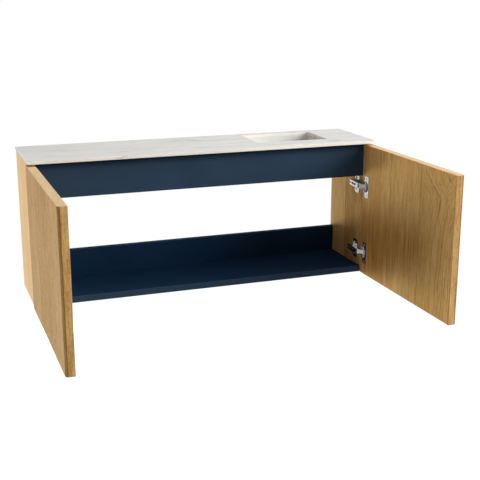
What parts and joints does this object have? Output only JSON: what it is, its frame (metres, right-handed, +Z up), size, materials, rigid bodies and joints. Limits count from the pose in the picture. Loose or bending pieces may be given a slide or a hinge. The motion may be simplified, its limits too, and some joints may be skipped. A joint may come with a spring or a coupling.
{
  "type": "wall-hung cloakroom vanity unit",
  "caption": "Slim wall-hung vanity unit: stone top with an off-centre built-in bowl, open-backed cabinet, and wide oak doors on concealed cup hinges.",
  "frame": {"origin": "middle of the line through the wall fixing holes, on the wall plane", "axes": "+X along the width to the user's right, +Y into the wall, +Z up"},
  "size_m": [1.002, 0.716, 0.405],
  "materials": {
    "marble": "honed, faint grey veins",
    "oak_veneer": "matt lacquered oak veneer",
    "navy_lacquer": "matt navy lacquer",
    "chrome": "polished",
    "rubber": "matt",
    "brass": "machined",
    "beech": "fluted beech",
    "zinc": "zinc plated",
    "nickel_steel": "nickel plated"
  },
  "bodies": {
    "cabinet": {"bottom_shelf": "navy_lacquer", "bowl_end_wall": "marble", "bowl_front_wall": "marble", "bowl_ramp": "marble", "bowl_rear_wall": "marble", "bowl_sump_floor": "marble", "bracket_screws": "zinc", "dowels": "beech", "front_apron": "navy_lacquer", "hanging_rail": "navy_lacquer", "hinge_adjusters": "nickel_steel", "hinge_arm_left_lower": "nickel_steel", "hinge_arm_left_upper": "nickel_steel", "hinge_arm_pins": "nickel_steel", "hinge_arm_right_lower": "nickel_steel", "hinge_arm_right_upper": "nickel_steel", "hinge_plate_left_lower": "nickel_steel", "hinge_plate_left_upper": "nickel_steel", "hinge_plate_right_lower": "nickel_steel", "hinge_plate_right_upper": "nickel_steel", "hinge_plate_screws": "nickel_steel", "rail_screws": "zinc", "rear_lower_rail": "navy_lacquer", "side_panel_left": "oak_veneer", "side_panel_right": "oak_veneer", "stone_top": "marble", "wall_bracket_left": "zinc", "wall_bracket_right": "zinc", "waste_body": "chrome", "waste_gasket": "rubber", "waste_nut": "brass"},
    "left_links": {"hinge_link_left_upper": "nickel_steel", "hinge_link_left_lower": "nickel_steel"},
    "left_door": {"door_left": "oak_veneer", "hinge_cup_left_upper": "nickel_steel", "hinge_cup_left_lower": "nickel_steel", "hinge_cup_pins_left": "nickel_steel", "hinge_cup_screws_left": "nickel_steel"},
    "right_links": {"hinge_link_right_upper": "nickel_steel", "hinge_link_right_lower": "nickel_steel"},
    "right_door": {"door_right": "oak_veneer", "hinge_cup_right_upper": "nickel_steel", "hinge_cup_right_lower": "nickel_steel", "hinge_cup_pins_right": "nickel_steel", "hinge_cup_screws_right": "nickel_steel"}
  },
  "joints": [
    {"name": "left_link_swing", "type": "hinge", "parent": "cabinet", "child": "left_links", "pos_m": [-0.46853, -0.21727, 0], "axis": [0, 0, 1], "range_deg": [-42.41, 2.36]},
    {"name": "left_door_swing", "type": "hinge", "parent": "left_links", "child": "left_door", "pos_m": [-0.481, -0.231, 0], "axis": [0, 0, 1], "range_deg": [-7.36, 132.41]},
    {"name": "right_link_swing", "type": "hinge", "parent": "cabinet", "child": "right_links", "pos_m": [0.46853, -0.21727, 0], "axis": [0, 0, -1], "range_deg": [-42.41, 2.36]},
    {"name": "right_door_swing", "type": "hinge", "parent": "right_links", "child": "right_door", "pos_m": [0.481, -0.231, 0], "axis": [0, 0, -1], "range_deg": [-7.36, 132.41]}
  ],
  "couplings": [
    {"joint": "left_door_swing", "follows": "left_link_swing", "ratio": -3.1223},
    {"joint": "right_door_swing", "follows": "right_link_swing", "ratio": -3.1223}
  ]
}
